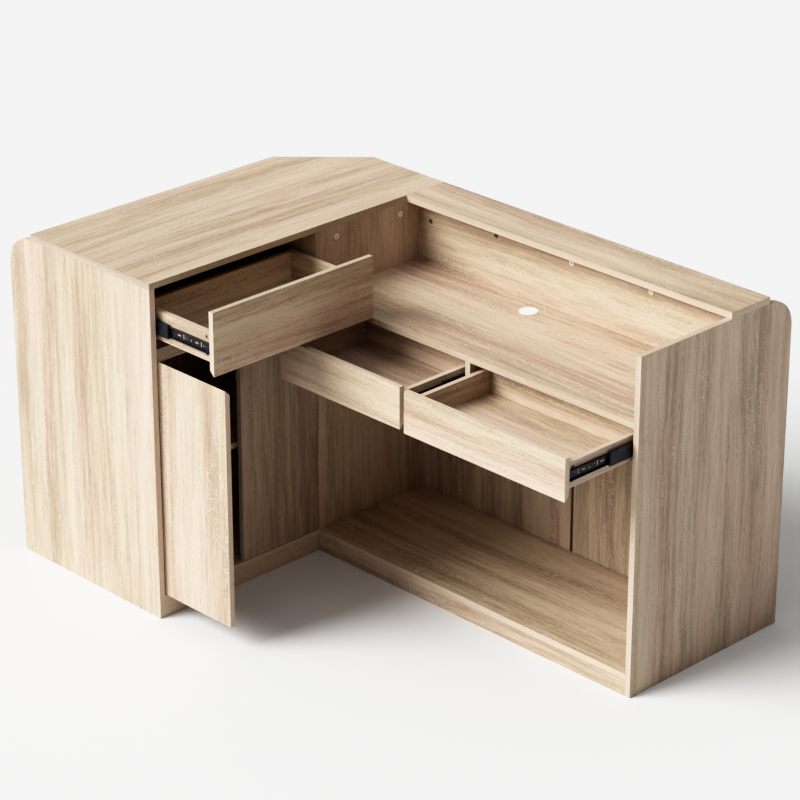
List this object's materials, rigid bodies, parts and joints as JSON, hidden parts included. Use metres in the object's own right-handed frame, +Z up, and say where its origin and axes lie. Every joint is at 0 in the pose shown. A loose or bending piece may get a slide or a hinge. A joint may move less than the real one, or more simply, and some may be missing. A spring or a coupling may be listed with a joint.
{
  "type": "reception desk",
  "caption": "L-shaped reception desk with a wing cabinet, a raised visitor counter, a lower work surface, drawers on metal slides and hinged cupboard doors.",
  "frame": {"origin": "middle of the footprint of both end panels, on the floor", "axes": "+X along the longer desk wing, away from the cabinet wing; +Y from the staff side to the visitor side; +Z up"},
  "size_m": [1.8, 1.2, 1],
  "materials": {
    "oak_laminate": "matt light oak laminate",
    "drawer_bottom": "thin faced hardboard",
    "joint_strip": "matt dark strip",
    "white_plastic": "satin moulded plastic",
    "black_steel": "black zinc-plated steel",
    "nickel_steel": "nickel-plated steel",
    "zinc": "cast zinc"
  },
  "bodies": {
    "carcass": {"cabinet_bottom": "oak_laminate", "cabinet_divider": "oak_laminate", "cabinet_plinth": "oak_laminate", "cabinet_shelf": "oak_laminate", "cam_caps": "white_plastic", "cam_housings": "zinc", "corner_filler": "oak_laminate", "corner_panel": "oak_laminate", "counter_ledge": "oak_laminate", "deck_front_rail": "oak_laminate", "desk_partition": "oak_laminate", "desk_slide_rails": "black_steel", "desk_top": "oak_laminate", "drawer_deck": "oak_laminate", "drawer_hanger": "oak_laminate", "facade_corner_board": "oak_laminate", "facade_desk_board_left": "oak_laminate", "facade_desk_board_right": "oak_laminate", "facade_joint_strip": "joint_strip", "facade_wing_board": "oak_laminate", "grommet_cap": "white_plastic", "grommet_ring": "white_plastic", "hinge_arms": "nickel_steel", "left_end_panel": "oak_laminate", "platform_bearer": "oak_laminate", "platform_board": "oak_laminate", "platform_plinth": "oak_laminate", "right_end_panel": "oak_laminate", "shelf_pins": "zinc", "upper_back_board": "oak_laminate", "wing_slide_rails": "black_steel", "wing_top": "oak_laminate"},
    "wing_drawer": {"wing_drawer_front": "oak_laminate", "wing_drawer_left_side": "oak_laminate", "wing_drawer_right_side": "oak_laminate", "wing_drawer_back": "oak_laminate", "wing_drawer_bottom": "drawer_bottom", "wing_drawer_cams": "zinc", "wing_drawer_runners": "black_steel"},
    "wing_drawer_middles": {"wing_drawer_slide_middles": "black_steel"},
    "left_drawer": {"left_drawer_front": "oak_laminate", "left_drawer_left_side": "oak_laminate", "left_drawer_right_side": "oak_laminate", "left_drawer_back": "oak_laminate", "left_drawer_bottom": "drawer_bottom", "left_drawer_cams": "zinc", "left_drawer_runners": "black_steel"},
    "left_drawer_middles": {"left_drawer_slide_middles": "black_steel"},
    "right_drawer": {"right_drawer_front": "oak_laminate", "right_drawer_left_side": "oak_laminate", "right_drawer_right_side": "oak_laminate", "right_drawer_back": "oak_laminate", "right_drawer_bottom": "drawer_bottom", "right_drawer_cams": "zinc", "right_drawer_runners": "black_steel"},
    "right_drawer_middles": {"right_drawer_slide_middles": "black_steel"},
    "left_door": {"left_door": "oak_laminate", "left_door_hinge_cups": "nickel_steel"},
    "right_door": {"right_door": "oak_laminate", "right_door_hinge_cups": "nickel_steel"}
  },
  "joints": [
    {"name": "wing_drawer_slide", "type": "slide", "parent": "carcass", "child": "wing_drawer", "axis": [1, 0, 0], "range_m": [-0.23, 0.07]},
    {"name": "wing_drawer_middle_slide", "type": "slide", "parent": "carcass", "child": "wing_drawer_middles", "axis": [1, 0, 0], "range_m": [-0.115, 0.035]},
    {"name": "left_drawer_slide", "type": "slide", "parent": "carcass", "child": "left_drawer", "axis": [0, -1, 0], "range_m": [-0.242, 0.058]},
    {"name": "left_drawer_middle_slide", "type": "slide", "parent": "carcass", "child": "left_drawer_middles", "axis": [0, -1, 0], "range_m": [-0.121, 0.029]},
    {"name": "right_drawer_slide", "type": "slide", "parent": "carcass", "child": "right_drawer", "axis": [0, -1, 0], "range_m": [-0.25, 0.05]},
    {"name": "right_drawer_middle_slide", "type": "slide", "parent": "carcass", "child": "right_drawer_middles", "axis": [0, -1, 0], "range_m": [-0.125, 0.025]},
    {"name": "left_door_hinge", "type": "hinge", "parent": "carcass", "child": "left_door", "pos_m": [-0.308, -0.57, 0.419], "axis": [0, 0, 1], "range_deg": [-10, 90]},
    {"name": "right_door_hinge", "type": "hinge", "parent": "carcass", "child": "right_door", "pos_m": [-0.308, -0.012, 0.419], "axis": [0, 0, 1], "range_deg": [0, 20]}
  ],
  "couplings": [
    {"joint": "wing_drawer_middle_slide", "follows": "wing_drawer_slide", "ratio": 0.5},
    {"joint": "left_drawer_middle_slide", "follows": "left_drawer_slide", "ratio": 0.5},
    {"joint": "right_drawer_middle_slide", "follows": "right_drawer_slide", "ratio": 0.5}
  ]
}
